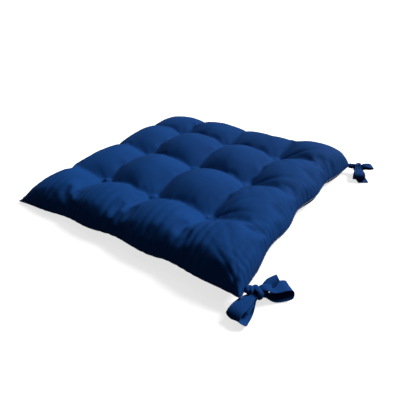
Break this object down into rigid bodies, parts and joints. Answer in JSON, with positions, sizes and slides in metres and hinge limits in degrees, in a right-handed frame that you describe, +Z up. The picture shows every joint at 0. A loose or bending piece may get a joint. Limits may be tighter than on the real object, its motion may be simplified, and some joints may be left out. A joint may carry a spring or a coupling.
{
  "type": "seat cushion",
  "caption": "Square tufted chair cushion, flat underneath, with knife-edge seams drawn in between its corners and a bow-tied fabric strap at each rear corner.",
  "frame": {"origin": "centre of the cushion's underside, on the surface that it lies on", "axes": "+Z up, through the thickness; +Y towards the rear edge, where the ties are; +X towards the rear tie on the right, as seen from above with the rear edge away from the viewer"},
  "size_m": [0.4534, 0.45, 0.0624],
  "materials": {
    "cover_cotton": "matte",
    "tie_cotton": "matte",
    "sewing_thread": "satin",
    "polyester_fibre": "matte"
  },
  "bodies": {
    "cushion": {"cover_top_panel": "cover_cotton", "cover_bottom_panel": "cover_cotton", "fibre_filling": "polyester_fibre", "perimeter_seam": "sewing_thread", "closing_stitch": "sewing_thread", "tuft_stitch_11": "sewing_thread", "tuft_stitch_12": "sewing_thread", "tuft_stitch_13": "sewing_thread", "tuft_stitch_21": "sewing_thread", "tuft_stitch_22": "sewing_thread", "tuft_stitch_23": "sewing_thread", "tuft_stitch_31": "sewing_thread", "tuft_stitch_32": "sewing_thread", "tuft_stitch_33": "sewing_thread"},
    "right_tie_root": {"right_tie_tack": "sewing_thread"},
    "right_bow": {"right_strap_a": "tie_cotton", "right_strap_b": "tie_cotton", "right_bow_knot": "tie_cotton"},
    "left_tie_root": {"left_tie_tack": "sewing_thread"},
    "left_bow": {"left_strap_a": "tie_cotton", "left_strap_b": "tie_cotton", "left_bow_knot": "tie_cotton"}
  },
  "joints": [
    {"name": "right_tie_swing", "type": "hinge", "parent": "cushion", "child": "right_tie_root", "pos_m": [0.184, 0.19785, 0.02029], "axis": [0, 0, 1], "range_deg": [-20, 10]},
    {"name": "right_tie_lift", "type": "hinge", "parent": "right_tie_root", "child": "right_bow", "pos_m": [0.184, 0.19785, 0.02029], "axis": [1, 0, 0], "range_deg": [-40, 80]},
    {"name": "left_tie_swing", "type": "hinge", "parent": "cushion", "child": "left_tie_root", "pos_m": [-0.197, 0.19958, 0.01218], "axis": [0, 0, 1], "range_deg": [-10, 30]},
    {"name": "left_tie_lift", "type": "hinge", "parent": "left_tie_root", "child": "left_bow", "pos_m": [-0.197, 0.19958, 0.01218], "axis": [1, 0, 0], "range_deg": [-60, 80]}
  ]
}
